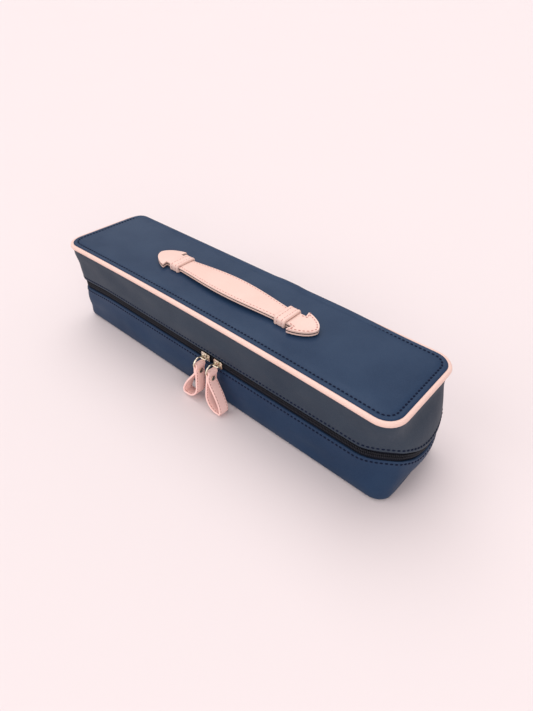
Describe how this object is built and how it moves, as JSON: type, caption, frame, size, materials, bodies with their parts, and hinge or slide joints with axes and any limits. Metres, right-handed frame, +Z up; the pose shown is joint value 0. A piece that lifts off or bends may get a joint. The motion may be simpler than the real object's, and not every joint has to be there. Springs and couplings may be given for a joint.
{
  "type": "zip-round flute case",
  "caption": "Soft zip-round carrying case for a flute or piccolo, with padded lid and tub, contrast piping, a strap handle and looped zip pulls.",
  "frame": {"origin": "centre of the base's underside, on the surface the case stands on", "axes": "+X along the case, -Y to the front with the zip pulls, +Z up to the handle"},
  "size_m": [0.427, 0.119, 0.108],
  "materials": {
    "navy_leather": "fine grain, satin",
    "pink_leather": "fine grain, satin",
    "board": "pressed fibre board",
    "foam": "open-cell foam",
    "lining": "short brushed pile",
    "zip_tape": "woven tape",
    "zip_coil": "nylon coil",
    "hinge_cloth": "fine grain, satin",
    "zip_metal": "pale gold plate",
    "filler_cord": "foamed cord",
    "webbing": "woven webbing"
  },
  "bodies": {
    "tub": {"base_panel": "navy_leather", "tub_wall": "navy_leather", "base_board": "board", "base_foam": "foam", "tub_wall_foam": "foam", "tub_lining": "lining", "lower_zip_tape": "zip_tape", "lower_zip_coil": "zip_coil", "zip_end_stops": "zip_metal", "hinge_gusset": "hinge_cloth"},
    "lid": {"lid_panel": "navy_leather", "lid_board": "board", "lid_foam": "foam", "lid_wall": "navy_leather", "lid_wall_foam": "foam", "lid_lining": "lining", "lid_piping": "pink_leather", "lid_piping_cord": "filler_cord", "upper_zip_tape": "zip_tape", "upper_zip_coil": "zip_coil", "left_keeper": "pink_leather", "right_keeper": "pink_leather"},
    "handle_grip": {"grip_top_leather": "pink_leather", "grip_core": "webbing", "grip_under_leather": "pink_leather", "handle_left_flex": "pink_leather", "handle_right_flex": "pink_leather"},
    "handle_left_end": {"handle_left_tail": "pink_leather"},
    "handle_right_end": {"handle_right_tail": "pink_leather"},
    "left_slider_body": {"left_slider": "zip_metal"},
    "left_ring_body": {"left_ring": "zip_metal"},
    "left_pull": {"left_loop": "pink_leather", "left_rivet": "zip_metal"},
    "right_slider_body": {"right_slider": "zip_metal"},
    "right_ring_body": {"right_ring": "zip_metal"},
    "right_pull": {"right_loop": "pink_leather", "right_rivet": "zip_metal"}
  },
  "joints": [
    {"name": "lid_hinge", "type": "hinge", "parent": "tub", "child": "lid", "pos_m": [0, 0.0485, 0.048], "axis": [-1, 0, 0], "range_deg": [0, 150], "deforming": ["hinge_gusset", "upper_zip_tape", "upper_zip_coil"]},
    {"name": "handle_lift", "type": "slide", "parent": "lid", "child": "handle_grip", "axis": [0, 0, 1], "range_m": [0, 0.016], "deforming": ["handle_left_flex", "handle_right_flex"]},
    {"name": "left_end_slide", "type": "slide", "parent": "handle_grip", "child": "handle_left_end", "axis": [0.2983, 0, -0.9545], "range_m": [0, 0.0168]},
    {"name": "right_end_slide", "type": "slide", "parent": "handle_grip", "child": "handle_right_end", "axis": [-0.2983, 0, -0.9545], "range_m": [0, 0.0168]},
    {"name": "left_slider_slide", "type": "slide", "parent": "tub", "child": "left_slider_body", "axis": [-1, 0, 0], "range_m": [0, 0.15]},
    {"name": "left_ring_swing", "type": "hinge", "parent": "left_slider_body", "child": "left_ring_body", "pos_m": [0.009, -0.0512, 0.048], "axis": [-1, 0, 0], "range_deg": [-5, 40]},
    {"name": "left_loop_swing", "type": "hinge", "parent": "left_ring_body", "child": "left_pull", "pos_m": [0.009, -0.05596, 0.0442], "axis": [0, 0.9962, -0.0872], "range_deg": [-6, 50]},
    {"name": "right_slider_slide", "type": "slide", "parent": "tub", "child": "right_slider_body", "axis": [1, 0, 0], "range_m": [0, 0.15]},
    {"name": "right_ring_swing", "type": "hinge", "parent": "right_slider_body", "child": "right_ring_body", "pos_m": [0.026, -0.0512, 0.048], "axis": [-1, 0, 0], "range_deg": [-5, 40]},
    {"name": "right_loop_swing", "type": "hinge", "parent": "right_ring_body", "child": "right_pull", "pos_m": [0.026, -0.05596, 0.0442], "axis": [0, -0.9962, 0.0872], "range_deg": [-6, 50]}
  ],
  "couplings": [
    {"joint": "left_end_slide", "follows": "handle_lift", "ratio": 1.0477},
    {"joint": "right_end_slide", "follows": "handle_lift", "ratio": 1.0477}
  ]
}
